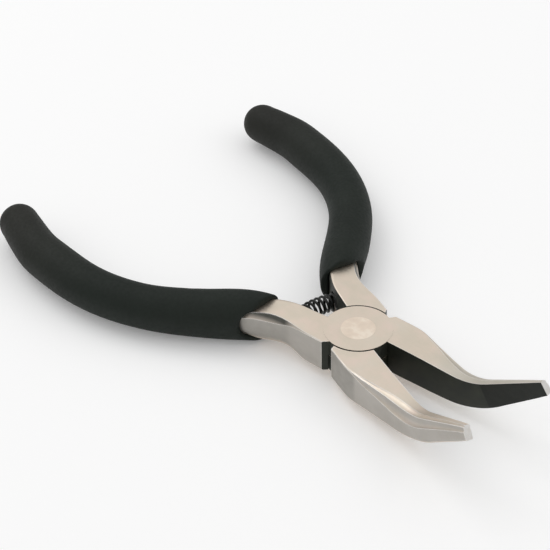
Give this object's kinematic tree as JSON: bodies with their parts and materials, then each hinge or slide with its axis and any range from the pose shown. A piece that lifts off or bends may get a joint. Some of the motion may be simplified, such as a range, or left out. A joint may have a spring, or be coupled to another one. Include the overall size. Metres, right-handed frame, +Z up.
{
  "type": "needle nose pliers",
  "caption": "Small bent-nose pliers with a lap joint, a return spring between the necks and soft black sleeve grips.",
  "frame": {"origin": "where the pivot axis meets the flat underside of the joint", "axes": "+Z up along the pivot axis, +X from the pivot towards the jaw tips along the middle of the half-open tool"},
  "size_m": [0.1258, 0.0774, 0.0193],
  "materials": {
    "satin_steel": "satin ground nickel-grey steel, inner faces left black",
    "rivet_steel": "flush ground rivet end",
    "spring_steel": "black oiled spring wire",
    "black_grip": "matte black soft sleeve"
  },
  "bodies": {
    "upper_lever": {"upper_half": "satin_steel", "pivot_rivet": "rivet_steel", "return_spring": "spring_steel", "upper_grip": "black_grip"},
    "lower_lever": {"lower_half": "satin_steel", "lower_grip": "black_grip"}
  },
  "joints": [
    {"name": "jaw_pivot", "type": "hinge", "parent": "upper_lever", "child": "lower_lever", "pos_m": [0, 0, 0.00365], "axis": [0, 0, 1], "range_deg": [-8, 23.8], "stiffness_Nm_per_rad": 0.3, "deforming": ["return_spring"]}
  ]
}
